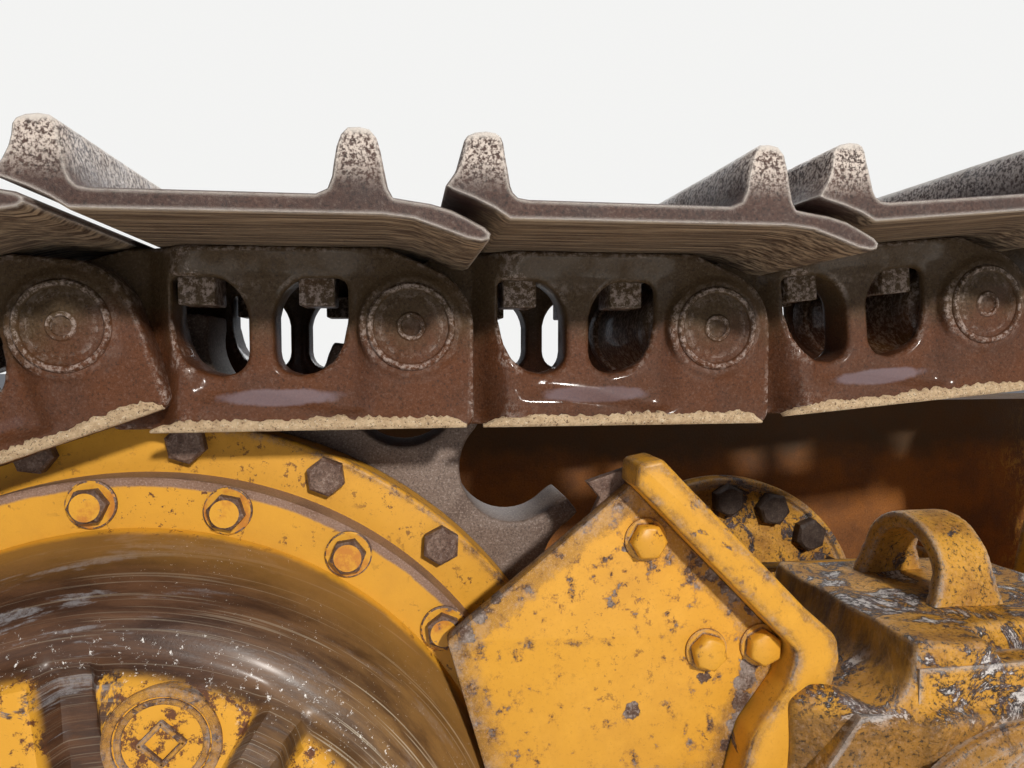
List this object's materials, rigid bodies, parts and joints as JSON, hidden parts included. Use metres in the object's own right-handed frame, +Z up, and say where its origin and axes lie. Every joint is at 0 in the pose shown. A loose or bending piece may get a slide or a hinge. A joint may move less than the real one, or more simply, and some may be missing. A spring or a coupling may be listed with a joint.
{
  "type": "crawler loader track unit",
  "caption": "One side of a crawler loader's undercarriage: shoe track round a sprocket with final drive, rollers, roller frame and front idler, hung on a frame rail.",
  "frame": {"origin": "on the sprocket's axis, in the face where the final drive meets the frame rail and the drive motor's pilot bore opens", "axes": "+X forward along the track, +Y inboard along the sprocket's axis, +Z up"},
  "size_m": [3.3864, 0.629, 1.0397],
  "materials": {
    "track_steel": "worn, oily and rusted dark brown",
    "sprocket_steel": "cast, with pockets polished by the bushings",
    "yellow_paint": "yellow paint with rust specks and chips",
    "oily_paint": "oily dark brown over yellow paint",
    "rusty_paint": "rust with remains of yellow paint",
    "worn_paint": "yellow paint worn down to dark steel",
    "roller_steel": "oily steel with polished treads"
  },
  "bodies": {
    "root": {"carrier_bracket_1": "worn_paint", "carrier_bracket_2": "worn_paint", "carrier_roller_1": "roller_steel", "carrier_roller_2": "roller_steel", "equalizer_bracket": "worn_paint", "final_drive_case": "yellow_paint", "final_drive_cover": "oily_paint", "frame_rail": "rusty_paint", "frame_top_plate": "worn_paint", "frame_web_inboard": "worn_paint", "frame_web_outboard": "worn_paint", "guard_rib": "yellow_paint", "guide_guards_front": "yellow_paint", "guide_guards_rear": "yellow_paint", "idler_shaft": "roller_steel", "idler_yoke": "worn_paint", "lifting_eye": "worn_paint", "pivot_cap": "yellow_paint", "pivot_housing": "worn_paint", "pivot_shaft": "rusty_paint", "recoil_housing": "worn_paint", "roller_shaft_1": "roller_steel", "roller_shaft_2": "roller_steel", "roller_shaft_3": "roller_steel", "roller_shaft_4": "roller_steel", "roller_shaft_5": "roller_steel", "roller_shaft_6": "roller_steel", "sprocket_guard": "yellow_paint", "sprocket_hub": "yellow_paint", "sprocket_rim": "sprocket_steel", "track": "track_steel", "track_roller_1": "roller_steel", "track_roller_2": "roller_steel", "track_roller_3": "roller_steel", "track_roller_4": "roller_steel", "track_roller_5": "roller_steel", "track_roller_6": "roller_steel"},
    "idler": {"idler_wheel": "roller_steel"}
  },
  "joints": [
    {"name": "idler_spin", "type": "hinge", "parent": "root", "child": "idler", "pos_m": [2.43129, -0.3, -0.02217], "axis": [0, 1, 0], "continuous": true}
  ]
}
